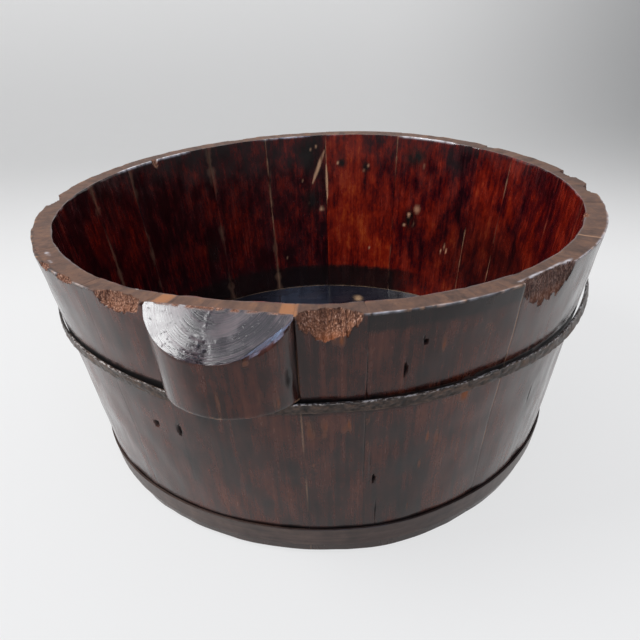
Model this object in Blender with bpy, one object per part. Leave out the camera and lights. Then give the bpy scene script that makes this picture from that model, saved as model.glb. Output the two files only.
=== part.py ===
"""Lacquered wooden tub: tapered staves round a boarded bottom, held by two iron hoops.

Metres, +Z up. The origin is on the tub's axis, on the surface that the tub stands on.
Each piece is a loft: a list of rings with as many points each, skinned in order and capped.
"""
import math

import bmesh
import bpy
from mathutils import Vector

# Body of the tub
RIM_RADIUS = 0.260                      # outside of the staves at the top
FOOT_RADIUS = 0.2195                    # outside of the staves at the foot
HEIGHT = 0.235
WALL = 0.0175                           # thickness of a stave, measured level
ARRIS = 0.0012                          # chamfer along the rim and the foot
FIT_GAP = 0.0003                        # clearance between pieces that touch
FACET = math.radians(4.0)               # angle that one facet of a round piece spans

# Staves, in order round the rim from the one with the front lug
STAVE_WIDTHS = (
    0.107, 0.049, 0.118, 0.115, 0.091, 0.085, 0.093, 0.053, 0.118,
    0.099, 0.082, 0.081, 0.121, 0.073, 0.098, 0.095, 0.093, 0.063,
)
LUG_STAVES = {0: "front", 9: "back"}    # which staves carry a lug
FRONT_LUG_AT = math.radians(-105.75)    # direction of the front lug from the axis

# Lugs, each carved with its stave from one thick plank
LUG_REACH = 0.028                       # how far the round front stands off the wall
LUG_DROP = 0.0685                       # from the rim down to the lug's underside
LUG_SHOULDER = 0.010                    # how far the centre of the round lies inside its corners
LUG_LIP = 0.0004                        # what is left of the reach at the stave's edges
LUG_SLANT = math.radians(33.0)          # fall of the top facet
LUG_FACET_INSETS = {0: 0.0085, 9: -0.002}   # from the rim's outside in to each facet's straight edge
LUG_STEPS = 18

# Bottom: boards with a tongue round the edge, held in a groove in the staves
FLOOR_HEIGHT = 0.045                    # top of the boards above the foot
FLOOR_THICKNESS = 0.020
TONGUE_DROP = 0.0012                    # chamfer along the top edge, down to the tongue
TONGUE_THICKNESS = 0.010
CROZE_DEPTH = 0.006                     # groove in the staves
TONGUE_SHOULDER = 0.003                 # level part of the tongue inside the wall
BEVEL_WIDTH = 0.014                     # slope from the tongue down to the underside
BOARD_WIDTHS = (0.078, 0.092, 0.084, 0.096, 0.080)

# Bamboo pins in the edges of staves and boards
PIN_RADIUS = 0.003
PIN_POINT = 0.001                       # chamfer on a pin's ends
PIN_SIDES = 12
STAVE_PIN_LENGTH = 0.030
STAVE_PIN_HEIGHT = 0.120
BOARD_PIN_LENGTH = 0.036
BOARD_PIN_SPREAD = 0.075                # from the middle of a joint to each of its two pins

# Hoops: flat straps, lapped and riveted at the back
HOOP_THICKNESS = 0.002
UPPER_HOOP_HEIGHT = 0.0092
UPPER_HOOP_DROP = 0.0006                # below the nearest corner of a lug
UPPER_HOOP_SLACK = 0.0030               # half of the widest gap between this loose hoop and the wall
UPPER_HOOP_TILT = 0.010                 # rise of the hoop's plane at its loose side
LOOSE_SIDE = math.radians(-45.0)
LOWER_HOOP_HEIGHT = 0.0175
LOWER_HOOP_FOOT = 0.0100                # lower edge above the foot
LAP_AT = math.radians(96.0)             # where the inner end of each strap starts
LAP_LENGTH = 0.050
JOGGLE_LENGTH = 0.030                   # stretch in which the outer end climbs over the inner one
RIVET_RADIUS = 0.0014
RIVET_HEAD_RADIUS = 0.0030
RIVET_HEAD_HEIGHT = 0.0014
RIVET_SPREAD = 0.011                    # from the middle of the lap to each rivet
RIVET_SIDES = 12

LUG_BOTTOM = HEIGHT - LUG_DROP
TONGUE_TOP = FLOOR_HEIGHT - TONGUE_DROP
TONGUE_FOOT = TONGUE_TOP - TONGUE_THICKNESS
CROZE_TOP = TONGUE_TOP + FIT_GAP
CROZE_FOOT = TONGUE_FOOT - FIT_GAP
WALL_SLOPE = math.atan2(RIM_RADIUS - FOOT_RADIUS, HEIGHT)


def wall_radius(z):
    """Outside radius of the staves at height z."""
    return FOOT_RADIUS + (RIM_RADIUS - FOOT_RADIUS) * z / HEIGHT


def inner_radius(z):
    """Inside radius of the staves at height z."""
    return wall_radius(z) - WALL


CROZE_BACK = inner_radius(CROZE_FOOT) + CROZE_DEPTH
FLOOR_RADIUS = CROZE_BACK - FIT_GAP


def on_axis(radius, angle, z):
    """Point at a radius, an angle round the tub's axis and a height."""
    return Vector((radius * math.cos(angle), radius * math.sin(angle), z))


def add_loft(bm, rings):
    """Skin the rings in order, close the two ends, and turn every face outwards."""
    loops = [[bm.verts.new(point) for point in ring] for ring in rings]
    faces = [bm.faces.new(loops[0]), bm.faces.new(loops[-1])]
    for low, high in zip(loops, loops[1:]):
        for i in range(len(low)):
            j = (i + 1) % len(low)
            faces.append(bm.faces.new((low[i], low[j], high[j], high[i])))
    bmesh.ops.recalc_face_normals(bm, faces=faces)


def circle(centre, u, v, radius, sides):
    """Ring of points round a centre, in the plane of the unit vectors u and v."""
    turn = 2 * math.pi / sides
    return [centre + radius * (math.cos(i * turn) * u + math.sin(i * turn) * v) for i in range(sides)]


def turned_rings(start, axis, profile, sides):
    """Rings of a turned piece: profile lists (distance along the axis, radius)."""
    u = axis.orthogonal().normalized()
    v = axis.cross(u)
    return [circle(start + axis * along, u, v, radius, sides) for along, radius in profile]


def material(name, colour, roughness, metallic=0.0):
    """Principled material of one colour."""
    made = bpy.data.materials.new(name)
    made.use_nodes = True
    shader = made.node_tree.nodes["Principled BSDF"]
    shader.inputs["Base Color"].default_value = (*colour, 1.0)
    shader.inputs["Roughness"].default_value = roughness
    shader.inputs["Metallic"].default_value = metallic
    return made


def add_object(name, bm, surface=None):
    """Turn a bmesh into a named object under the tub's empty; without a surface it is a cutter."""
    mesh = bpy.data.meshes.new(name)
    bm.to_mesh(mesh)
    bm.free()
    mesh.shade_smooth()
    mesh.set_sharp_from_angle(angle=math.radians(25.0))
    made = bpy.data.objects.new(name, mesh)
    bpy.context.scene.collection.objects.link(made)
    made.parent = tub
    if surface:
        mesh.materials.append(surface)
    else:
        made.hide_render = True
        made.display_type = "WIRE"
    return made


def loft_object(name, rings, surface):
    """Object of a single loft."""
    bm = bmesh.new()
    add_loft(bm, rings)
    return add_object(name, bm, surface)


def cutter_object(name, lofts):
    """Hidden object of several lofts, for boring holes."""
    bm = bmesh.new()
    for rings in lofts:
        add_loft(bm, rings)
    return add_object(name, bm)


def bore(piece, cutter):
    """Cut a cutter's solids out of a piece."""
    cut = piece.modifiers.new(cutter.name, "BOOLEAN")
    cut.operation = "DIFFERENCE"
    cut.solver = "EXACT"
    cut.object = cutter


def stave_joints():
    """Angles of the joints, from the one before the front lug's stave round to itself again."""
    turn = 2 * math.pi / sum(STAVE_WIDTHS)
    joints = [FRONT_LUG_AT - STAVE_WIDTHS[0] * turn / 2]
    for width in STAVE_WIDTHS:
        joints.append(joints[-1] + width * turn)
    return joints


def lug_radius(angle, half, z):
    """Radius of a lug's front: where a ray from the axis leaves an ellipse through both corners.

    The angle is from the middle of the lug, and half is the angle from there to the stave's edge.
    """
    radius = wall_radius(z)
    centre = radius * math.cos(half) - LUG_SHOULDER
    semi_out = radius + LUG_REACH - centre
    semi_side = radius * math.sin(half) / math.sqrt(1 - (LUG_SHOULDER / semi_out) ** 2)
    c, s = math.cos(angle), math.sin(angle)
    a = (c / semi_out) ** 2 + (s / semi_side) ** 2
    b = c * centre / semi_out ** 2
    d = (centre / semi_out) ** 2 - 1
    return max((b + math.sqrt(max(b * b - a * d, 0.0))) / a, radius + LUG_LIP)


def lug_profile(angle, half, inset):
    """Outer side of a lug's stave from the underside of the lug to the rim, at one angle.

    The facet falls from a straight edge across the stave, and ends in a chamfer where it runs out.
    """
    chord = RIM_RADIUS - inset
    z = HEIGHT - ARRIS
    for _ in range(12):
        fall = math.tan(LUG_SLANT) * (lug_radius(angle, half, z) * math.cos(angle) - chord)
        z = HEIGHT - max(fall, ARRIS)
    return [
        (wall_radius(LUG_BOTTOM), LUG_BOTTOM),
        (lug_radius(angle, half, LUG_BOTTOM), LUG_BOTTOM),
        (lug_radius(angle, half, z), z),
        (min(chord / math.cos(angle), lug_radius(angle, half, z) - ARRIS), HEIGHT),
    ]


def stave_profile(top_side):
    """Section of a stave as (radius, height), up the outside and down the inside past the groove."""
    return [
        (wall_radius(0) - ARRIS, 0),
        (wall_radius(ARRIS), ARRIS),
        *top_side,
        (inner_radius(HEIGHT) + ARRIS, HEIGHT),
        (inner_radius(HEIGHT - ARRIS), HEIGHT - ARRIS),
        (inner_radius(CROZE_TOP), CROZE_TOP),
        (CROZE_BACK, CROZE_TOP),
        (CROZE_BACK, CROZE_FOOT),
        (inner_radius(CROZE_FOOT), CROZE_FOOT),
        (inner_radius(ARRIS), ARRIS),
        (inner_radius(0) + ARRIS, 0),
    ]


def stave_rings(start, end, lug_inset):
    """Sections of a stave from joint to joint, each edge half a gap short of its joint.

    A stave with a lug gives the inset of the lug's facet, a plain one None.
    """
    middle, half = (start + end) / 2, (end - start) / 2
    lug = lug_inset is not None
    steps = max(2, math.ceil((end - start) / FACET))
    turns = [2 * i / steps - 1 for i in range(steps + 1)]
    if lug:
        turns = [-math.cos(math.pi * i / LUG_STEPS) for i in range(LUG_STEPS + 1)]
    plain_top = [(wall_radius(HEIGHT - ARRIS), HEIGHT - ARRIS), (RIM_RADIUS - ARRIS, HEIGHT)]
    rings = []
    for turn in turns:
        profile = stave_profile(lug_profile(turn * half, half, lug_inset) if lug else plain_top)
        rings.append([on_axis(r, middle + turn * (half - FIT_GAP / 2 / r), z) for r, z in profile])
    return rings


def pin_rings(middle, axis, length, grow=0.0):
    """Bamboo pin with chamfered ends, or with grow its blunt bore."""
    radius, reach = PIN_RADIUS + grow, length / 2 + grow
    point = 0.0 if grow else PIN_POINT
    profile = [(-reach, radius - point), (reach, radius - point)]
    if point:
        profile[1:1] = [(point - reach, radius), (reach - point, radius)]
    return turned_rings(middle, axis, profile, PIN_SIDES)


def floor_board(low, high, surface, name):
    """Slice of the tongued disc of the bottom between two joints."""
    foot = FLOOR_HEIGHT - FLOOR_THICKNESS
    shoulder = FLOOR_RADIUS - CROZE_DEPTH - TONGUE_SHOULDER
    at_wall = inner_radius(CROZE_TOP) - FIT_GAP
    profile = [
        (foot, shoulder - BEVEL_WIDTH),
        (TONGUE_FOOT, shoulder),
        (TONGUE_FOOT, FLOOR_RADIUS),
        (TONGUE_TOP, FLOOR_RADIUS),
        (TONGUE_TOP, at_wall),
        (FLOOR_HEIGHT, at_wall - TONGUE_DROP),
    ]
    bm = bmesh.new()
    add_loft(bm, turned_rings(Vector(), Vector((0, 0, 1)), profile, round(2 * math.pi / FACET)))
    for edge, side in ((low, -1), (high, 1)):
        if abs(edge) < FLOOR_RADIUS:
            cut = bmesh.ops.bisect_plane(
                bm, geom=bm.verts[:] + bm.edges[:] + bm.faces[:], dist=1e-6,
                plane_co=(0, edge, 0), plane_no=(0, side, 0), clear_outer=True)
            loop = [item for item in cut["geom_cut"] if isinstance(item, bmesh.types.BMEdge)]
            bmesh.ops.edgeloop_fill(bm, edges=loop)
    bmesh.ops.recalc_face_normals(bm, faces=bm.faces[:])
    return add_object(name, bm, surface)


def board_joints():
    """Places along Y of the joints between boards, the outer two at the disc's edge."""
    share = 2 * FLOOR_RADIUS / sum(BOARD_WIDTHS)
    joints = [-FLOOR_RADIUS]
    for width in BOARD_WIDTHS:
        joints.append(joints[-1] + width * share)
    return joints


def upper_hoop_line(angle):
    """Inside of the loose upper hoop: lower edge and gap, an off-centre circle in a tilted plane."""
    lean = math.cos(angle - LOOSE_SIDE)
    joints = stave_joints()
    corners = [joints[i + end] for i in LUG_STAVES for end in (0, 1)]
    highest = max(math.cos(corner - LOOSE_SIDE) for corner in corners)
    top = LUG_BOTTOM - UPPER_HOOP_DROP + UPPER_HOOP_TILT * (lean - highest)
    return top - UPPER_HOOP_HEIGHT, FIT_GAP + UPPER_HOOP_SLACK * (1 + lean)


def lower_hoop_line(angle):
    """Inside of the tight lower hoop: lower edge and gap, the same all round."""
    return LOWER_HOOP_FOOT, FIT_GAP


def hoop_rings(line, height):
    """Sections of a strap that lies along the wall, from its inner end once round and over the lap."""
    lap = LAP_LENGTH / wall_radius(line(LAP_AT)[0])
    joggle = JOGGLE_LENGTH / wall_radius(line(LAP_AT)[0])
    whole = 2 * math.pi + lap
    steps = math.ceil(whole / FACET) * 2
    rings = []
    for i in range(steps + 1):
        turn = whole * i / steps
        climb = min(max((turn - 2 * math.pi + joggle) / joggle, 0.0), 1.0)
        climb = climb * climb * (3 - 2 * climb)
        low, gap = line(LAP_AT + turn)
        gap += climb * (HOOP_THICKNESS + FIT_GAP)
        corners = ((0, 0), (HOOP_THICKNESS, 0), (HOOP_THICKNESS, height), (0, height))
        rings.append([on_axis(wall_radius(low + z) + gap + out, LAP_AT + turn, low + z) for out, z in corners])
    return rings


def rivet_seat(line, height, side):
    """Inner end and direction of a rivet in the lap, square to the strap."""
    low, gap = line(LAP_AT)
    middle = low + height / 2
    angle = LAP_AT + (LAP_LENGTH / 2 + side * RIVET_SPREAD) / wall_radius(middle)
    low, gap = line(angle)
    middle = low + height / 2
    axis = on_axis(math.cos(WALL_SLOPE), angle, -math.sin(WALL_SLOPE))
    return on_axis(wall_radius(middle) + gap, angle, middle), axis


def rivet_rings(line, height, side):
    """Rivet through both ends of a strap, flush inside and with a domed head outside."""
    seat, axis = rivet_seat(line, height, side)
    grip = (2 * HOOP_THICKNESS + FIT_GAP) * math.cos(WALL_SLOPE)
    head = grip + FIT_GAP
    profile = [
        (0.0, RIVET_RADIUS),
        (head, RIVET_RADIUS),
        (head, RIVET_HEAD_RADIUS),
        (head + RIVET_HEAD_HEIGHT * 0.6, RIVET_HEAD_RADIUS * 0.8),
        (head + RIVET_HEAD_HEIGHT, RIVET_HEAD_RADIUS * 0.3),
    ]
    return turned_rings(seat, axis, profile, RIVET_SIDES)


def rivet_bore(line, height, side):
    """Hole for a rivet, past both faces of the lapped strap."""
    seat, axis = rivet_seat(line, height, side)
    reach = 2 * HOOP_THICKNESS + FIT_GAP
    profile = [(-reach, RIVET_RADIUS + FIT_GAP), (2 * reach, RIVET_RADIUS + FIT_GAP)]
    return turned_rings(seat, axis, profile, RIVET_SIDES)


for old in list(bpy.data.objects):
    bpy.data.objects.remove(old, do_unlink=True)

tub = bpy.data.objects.new("tub", None)
bpy.context.scene.collection.objects.link(tub)

stave_lacquer = material("stave_lacquer", (0.070, 0.040, 0.034), 0.35)
floor_lacquer = material("floor_lacquer", (0.025, 0.020, 0.024), 0.25)
bamboo = material("bamboo", (0.420, 0.290, 0.140), 0.60)
strap_iron = material("strap_iron", (0.085, 0.080, 0.068), 0.75, 0.6)
lacquered_iron = material("lacquered_iron", (0.100, 0.070, 0.060), 0.50, 0.3)
rivet_iron = material("rivet_iron", (0.090, 0.080, 0.070), 0.70, 0.7)

# Staves and the pins in their joints
joint_angles = stave_joints()
pin_seats = []
for joint in joint_angles[:-1]:
    seat = on_axis(wall_radius(STAVE_PIN_HEIGHT) - WALL / 2, joint, STAVE_PIN_HEIGHT)
    pin_seats.append((seat, on_axis(1.0, joint + math.pi / 2, 0.0)))
stave_bores = cutter_object(
    "stave_bores", [pin_rings(seat, axis, STAVE_PIN_LENGTH, FIT_GAP) for seat, axis in pin_seats])
for i in range(len(STAVE_WIDTHS)):
    stave_name = f"stave_{i + 1:02d}"
    if i in LUG_STAVES:
        stave_name += f"_{LUG_STAVES[i]}_lug"
    rings = stave_rings(joint_angles[i], joint_angles[i + 1], LUG_FACET_INSETS.get(i))
    bore(loft_object(stave_name, rings, stave_lacquer), stave_bores)
for i, (seat, axis) in enumerate(pin_seats):
    loft_object(f"stave_pin_{i + 1:02d}", pin_rings(seat, axis, STAVE_PIN_LENGTH), bamboo)

# Bottom boards and the pins in their joints
board_edges = board_joints()
pin_seats = []
for edge in board_edges[1:-1]:
    for side in (-1, 1):
        pin_seats.append(Vector((side * BOARD_PIN_SPREAD, edge, FLOOR_HEIGHT - FLOOR_THICKNESS / 2)))
across = Vector((0, 1, 0))
board_bores = cutter_object(
    "board_bores", [pin_rings(seat, across, BOARD_PIN_LENGTH, FIT_GAP) for seat in pin_seats])
for i in range(len(BOARD_WIDTHS)):
    low, high = board_edges[i] + FIT_GAP / 2, board_edges[i + 1] - FIT_GAP / 2
    low = -2 * FLOOR_RADIUS if i == 0 else low
    high = 2 * FLOOR_RADIUS if i == len(BOARD_WIDTHS) - 1 else high
    bore(floor_board(low, high, floor_lacquer, f"bottom_board_{i + 1}"), board_bores)
for i, seat in enumerate(pin_seats):
    loft_object(f"board_pin_{i + 1}", pin_rings(seat, across, BOARD_PIN_LENGTH), bamboo)

# Hoops and their rivets
HOOPS = (
    ("upper_hoop", upper_hoop_line, UPPER_HOOP_HEIGHT, strap_iron),
    ("lower_hoop", lower_hoop_line, LOWER_HOOP_HEIGHT, lacquered_iron),
)
for hoop_name, line, height, surface in HOOPS:
    hoop = loft_object(hoop_name, hoop_rings(line, height), surface)
    bore(hoop, cutter_object(f"{hoop_name}_bores", [rivet_bore(line, height, side) for side in (-1, 1)]))
    for i, side in enumerate((-1, 1)):
        loft_object(f"{hoop_name}_rivet_{i + 1}", rivet_rings(line, height, side), rivet_iron)
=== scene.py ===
"""Looks of a lacquered wooden tub: staves, bottom, hoops and their wear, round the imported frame.

Metres and degrees round the tub's axis, +Z up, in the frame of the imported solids. The tables of wear, and of
what is out of true, are in degrees and millimetres.
"""
import math

import bpy
import numpy as np
from mathutils import Matrix, Vector


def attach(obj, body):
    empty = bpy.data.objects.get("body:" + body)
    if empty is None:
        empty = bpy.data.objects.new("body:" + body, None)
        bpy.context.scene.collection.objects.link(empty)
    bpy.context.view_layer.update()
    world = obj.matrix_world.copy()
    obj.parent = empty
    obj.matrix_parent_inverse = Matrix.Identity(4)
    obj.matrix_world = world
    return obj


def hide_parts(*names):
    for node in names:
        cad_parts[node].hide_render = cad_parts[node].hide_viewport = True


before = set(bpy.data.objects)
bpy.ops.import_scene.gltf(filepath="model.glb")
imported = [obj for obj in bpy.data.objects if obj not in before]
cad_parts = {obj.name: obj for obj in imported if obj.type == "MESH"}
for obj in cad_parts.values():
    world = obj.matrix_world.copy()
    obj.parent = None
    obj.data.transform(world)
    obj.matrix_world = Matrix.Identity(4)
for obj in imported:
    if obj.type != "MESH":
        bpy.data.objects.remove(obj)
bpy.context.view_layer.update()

# Staves: tapered softwood boards, planed round and bevelled so that they close into a ring.
# They are lacquered dark brown outside and clear red inside. The rim is rubbed back to the wood,
# and its outer arris is chipped where the tub was knocked. Two staves are thicker, with a lug carved on.
MM = 0.001
RIM_RADIUS = 0.260
FOOT_RADIUS = 0.2195
HEIGHT = 0.235
WALL = 0.0175
TAPER = (RIM_RADIUS - FOOT_RADIUS) / HEIGHT
FOOT_BEVEL = 0.0015
FLOOR_HEIGHT = 0.045
FLOOR_CHAMFER = 0.0012
TONGUE_HEIGHT, TONGUE_REACH = 0.010, 0.006
TONGUE_TOP = FLOOR_HEIGHT - FLOOR_CHAMFER
TONGUE_FOOT = TONGUE_TOP - TONGUE_HEIGHT
FIT_GAP = 0.0003
CROZE_TOP = TONGUE_TOP + FIT_GAP
CROZE_FOOT = TONGUE_FOOT - FIT_GAP
CROZE_BACK = FOOT_RADIUS + TAPER * CROZE_FOOT - WALL + TONGUE_REACH
STAVE_WIDTHS = np.array([
    0.107, 0.049, 0.118, 0.115, 0.091, 0.085, 0.093, 0.053, 0.118,
    0.099, 0.082, 0.081, 0.121, 0.073, 0.098, 0.095, 0.093, 0.063])
LUG_STAVES = {0: "front", 9: "back"}
FRONT_LUG_AT = -105.75
JOINTS = np.concatenate([[0.0], np.cumsum(STAVE_WIDTHS)]) * 360 / STAVE_WIDTHS.sum()
JOINTS += FRONT_LUG_AT - JOINTS[1] / 2
STATION = 0.0011                        # spacing of the grid round the tub
CLOSED_GAP = 0.00006                    # what is left open between two lacquered staves

LUG_REACH = 0.0295
LUG_BOTTOM = HEIGHT - 0.0695
LUG_SHOULDER = 0.010
LUG_LIP = 0.0004
LUG_SLANT = math.tan(math.radians(35.0))
LUG_CHORDS = {0: RIM_RADIUS - 0.0085, 9: RIM_RADIUS + 0.002}
PLANED_ENDS = (0.40, 0.99)              # shares of the half-width of the lug
PLANED_TILT = math.radians(24)
RING_CENTRE = 0.238                     # distance from the axis of the middle of a lug's growth rings
RING_AXES = (0.049, 0.053)
RING_SCALE = 0.05

# Where the hand-made tub is out of true: how high its rim stands, how far its inner face lies out of round at
# the rim, how far its foot and the outside of its rim bulge, and how high the loose hoop lies over its plane.
RIM_RISE = np.array([
    (-130, 0.0), (-118, 1.0), (-100, 1.3), (-78, 0.9), (-66, 0.0), (20, -1.0), (36, -0.8), (46, 0.3),
    (58, 1.6), (72, 1.9), (86, 1.2), (100, 0.4), (125, -0.6), (150, -1.2), (170, -0.8)])
INNER_FACE = np.array([
    (-128, 0.0), (-121, -0.6), (-117, -1.8), (-113, -3.6), (-109, -4.7), (-104, -5.3), (-99, -4.9),
    (-95, -3.9), (-92, -2.6), (-83, -2.3), (-80, -1.2), (-70, -0.3), (-58, 0.8), (-50, 1.7), (-40, 0.8),
    (-28, 0.0)])
FOOT_BULGE = np.array([
    (-155, -0.6), (-132, 0.4), (-118, 1.8), (-106, 3.1), (-96, 4.8), (-87, 5.8), (-80, 7.4), (-73, 6.7),
    (-69, 5.2), (-61, 2.5), (-52, 1.6), (-45, 0.0), (-36, -1.6), (-20, 0.0)])
FOOT_BULGE_TOP = 0.12
RIM_BULGE = np.array([
    (-157, 0.0), (-147, 2.1), (-141, 1.3), (-132, 0.0), (-58, 0.0), (-40, 1.8), (-29, 2.4), (-22, 1.8),
    (-14, 1.2), (-4, 0.0)])
HOOP_LIFT = np.array([
    (-235, 0.0), (-205, 8.5), (-190, 11.8), (-178, 12.6), (-168, 12.2), (-158, 10.4), (-148, 7.8),
    (-136, 6.0), (-124, 1.2), (-115, -4.2), (-105, -3.5), (-90, -1.8), (-80, -3.5), (-70, -4.6),
    (-58, -2.6), (-46, -4.3), (-34, -3.6), (-22, 2.4), (-10, 7.2), (2, 8.8), (20, 7.5), (60, 0.0)])
# That plane: mean height of the hoop's top edge, how far it tilts, and the angle where it is highest.
HOOP_MIDDLE, HOOP_TILT, HOOP_HIGH_AT = 0.159334, 0.010, -45.0
# How high a black band on the wall reaches over that plane, its first and last angle, and how black it is:
# a stain above the upper hoop, and painted shade on the wall in the gap behind it.
HOOP_STAIN_AND_SHADE = np.array([
    (-205, 11.0), (-190, 14.6), (-178, 15.5), (-168, 15.2), (-158, 13.4), (-150, 11.2), (-143, 9.6),
    (-135, 9.5), (-130, 7.5), (-126, 5.9), (-120, 4.2), (-105, 1.0), (-90, -1.0), (-78, -3.2),
    (-70, -5.8), (-62, -4.0), (-56, -3.1), (-50, -4.6), (-39, -3.0), (-20, 2.0)])
STAIN_AND_SHADE_ARC = (-205.0, -12.0, 1.0)

# How red the inside of each stave is (partly painted shade: the staves on the left are darkened), how open its
# joint with the stave before is outside, how much pale wood shows along that joint inside, outside and on the
# rim, and over which heights.
STAVE_TONES_AND_SHADE = np.array([
    0.0, -0.2, 0.2, 0.3, 0.2, 0.1, 0.25, 0.5, 0.25, 0.65, -0.6, -0.55, -0.5, -0.42, -0.45, -0.35, -0.2, -0.2])
OUTER_SEAMS = np.array([
    0.08, 1.0, 0.9, 0.2, 0.4, 0.3, 0.5, 0.3, 0.4, 0.6, 0.6, 0.3, 0.4, 0.3, 0.5, 0.3, 0.3, 0.1, 0.08])
OUTER_SEAM_SPANS = {0: (0, 80), 1: (165, 250), 2: (85, 200), 18: (0, 80)}
OUTER_PALE = {1: 0.6, 3: 0.6}
RIM_PALE = {4: 1.1}
INNER_SEAMS = np.array([
    0.2, 0.2, 0.2, 0.3, 0.4, 0.5, 0.8, 1.0, 0.8, 0.6, 0.8, 0.9, 0.5, 0.6, 0.5, 0.4, 0.4, 0.3, 0.2])
INNER_SEAM_SPANS = {6: (165, 250), 8: (0, 135), 12: (0, 160), 10: (150, 250)}
WHOLE_SPAN = (0, 250)

# Bites out of the rim's outer and inner arris: middle and half-width in degrees, then how far they
# reach along the rim and down the wall, and how hollow they are (1 flat, under 1 scooped).
OUTER_BITES = [
    (-123.0, 5.0, 8.0, 13.0, 0.80), (-88.9, 4.9, 10.0, 18.5, 0.78), (-50.6, 6.2, 5.8, 24.0, 0.95),
    (9.3, 2.8, 7.5, 12.0, 0.95), (-2.6, 3.4, 5.8, 11.0, 0.95), (176.2, 3.6, 6.2, 10.0, 0.90),
    (-137.0, 3.0, 3.0, 4.5, 0.90), (-144.0, 2.0, 2.6, 4.0, 0.90), (112.0, 2.5, 4.0, 7.0, 0.85),
    (38.0, 1.8, 4.5, 8.0, 0.80),
]
INNER_BITES = [(140.0, 1.0, 5.0, 10.0, 0.80), (-20.0, 1.5, 3.5, 6.0, 0.85)]

# Marks on the walls, and a painted shadow inside: angle and height of the middle, then how tall and how wide.
HOLES = [
    (-123.6, 116.8, 6.4, 6.4), (-117.9, 118.2, 11.0, 4.8), (-77.0, 185.0, 11.0, 2.1),
    (-74.1, 206.0, 4.2, 3.0), (-81.3, 80.0, 9.0, 1.8),
]
CRACKS = [
    (-77.0, 184.0, 34, 1.6), (-80.7, 42.0, 34, 1.6), (-45.0, 112.0, 22, 1.8), (-82.0, 95.0, 60, 1.4),
    (-95.2, 190.0, 20, 4.0), (-74.4, 208.5, 10, 1.8),
]
WORN_SPOTS = [
    (-82.6, 125.0, 60, 2.2), (-71.4, 115.0, 16, 3), (-72.3, 87.6, 14, 3), (-74.0, 38.3, 22, 3),
    (-100.1, 212.7, 6, 6), (-104.5, 178.0, 30, 3), (-99.0, 185.0, 24, 2), (-92.0, 132.0, 12, 30),
    (-97.0, 175.0, 20, 6), (-88.0, 140.0, 18, 62), (-84.5, 143.0, 10, 10), (-66.0, 148.0, 16, 34),
    (-119.5, 145.0, 16, 14), (-71.0, 203.0, 22, 4), (-69.5, 110.0, 30, 5), (-92.5, 98.0, 5, 5),
    (-63.0, 200.0, 24, 12), (-86.8, 216.0, 12, 20),
]
INNER_KNOTS = [
    (57.0, 151.4, 12.5, 11.5), (59.6, 143.2, 6.5, 6.5), (58.2, 132.6, 9.0, 6.5), (61.0, 129.8, 5.0, 6.0),
    (88.6, 144.8, 6.0, 9.0), (92.7, 151.6, 2.0, 7.0), (45.9, 113.0, 9.0, 3.0), (45.0, 108.0, 8.0, 3.0),
    (47.0, 106.0, 5.0, 3.0), (56.2, 203.5, 5.0, 5.0), (83.3, 201.7, 3.0, 4.0), (73.8, 198.5, 3.0, 5.0),
    (75.1, 192.3, 2.5, 6.0), (94.4, 182.1, 3.0, 3.0), (72.6, 96.3, 3.5, 3.5), (101.2, 83.3, 3.5, 3.0),
    (89.9, 222.8, 5.0, 4.0), (91.5, 219.0, 4.0, 3.0),
]
INNER_DARK = [
    (91.5, 214.0, 58, 46), (92.0, 156.0, 40, 30), (59.0, 138.0, 38, 26), (74.6, 197.0, 18, 14),
    (82.0, 202.0, 16, 18), (127.0, 110.0, 50, 30), (59.0, 213.0, 30, 40),
]
# Painted shadow of the near wall, low on the right of the inside.
INNER_PAINTED_SHADOW = (28.0, 105.0, 170, 300)
# Orange patches on the rim: middle and half-width in degrees.
RIM_PATCHES = [(-115.3, 1.5), (-94.8, 1.5)]
# Rubbed and white spots on the rim: angle, distance in from the outer arris, size across and along the rim.
# The white ones on the left are crumbs; those on the right are a painted highlight along the top of the chip.
RIM_BARE = [(-152.0, 2.5, 6.0, 20)]
RIM_WHITE_AND_GLINT = [
    (-149.0, 8.5, 4.5, 12), (-145.0, 6.0, 3.0, 8), (-56.0, 5.2, 3.6, 16), (-53.0, 6.8, 3.4, 22),
    (-48.5, 6.6, 3.4, 22), (-45.3, 4.4, 4.4, 16),
]
# Painted highlights along stretches of the outer and inner arris: first and last angle, and how white.
OUTER_PAINTED_GLINTS = [(-86.0, -77.5, 1.0), (-77.5, -58.0, 0.4), (-58.0, -8.0, 0.6), (-142.0, -128.0, 0.5)]
INNER_PAINTED_GLINTS = [(47.0, 65.0, 1.0), (93.0, 107.0, 0.5), (128.0, 154.0, 1.2)]
# Where the lacquer has peeled along the outer arris and left a dark line: first and last angle, and how dark.
PEELED_ARRIS = (-168.0, -116.5, 0.8)
# Breaks that have gone grey with age, as stretches of the rim.
AGED_BREAKS = [(-58.0, -43.0, 0.5), (-12.0, 15.0, 0.5), (165.0, 190.0, 0.5)]
# Slivers of bare wood inside: angle and height of both ends, and width.
SLIVERS = [(87.2, 219.0, 91.3, 177.0, 6.0), (86.95, 202.0, 86.7, 156.0, 4.2)]


def unit(values):
    """Values cut off below 0 and above 1."""
    return np.clip(values, 0, 1)


def wall_radius(z):
    """Outside radius of the wall at height z."""
    return FOOT_RADIUS + TAPER * z


def round_axis(theta, radius, z):
    """Points at an angle in degrees, a distance from the tub's axis and a height."""
    turn = np.radians(theta)
    return np.stack([radius * np.cos(turn), radius * np.sin(turn), z], axis=-1)


def out_of_true(angles, table):
    """Departure at each angle: straight lines between the entries of a table, averaged over 8 degrees."""
    near = [np.interp(angles + shift, table[:, 0], table[:, 1], period=360) for shift in (-4, -2, 0, 2, 4)]
    return sum(near) / len(near) * MM


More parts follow.
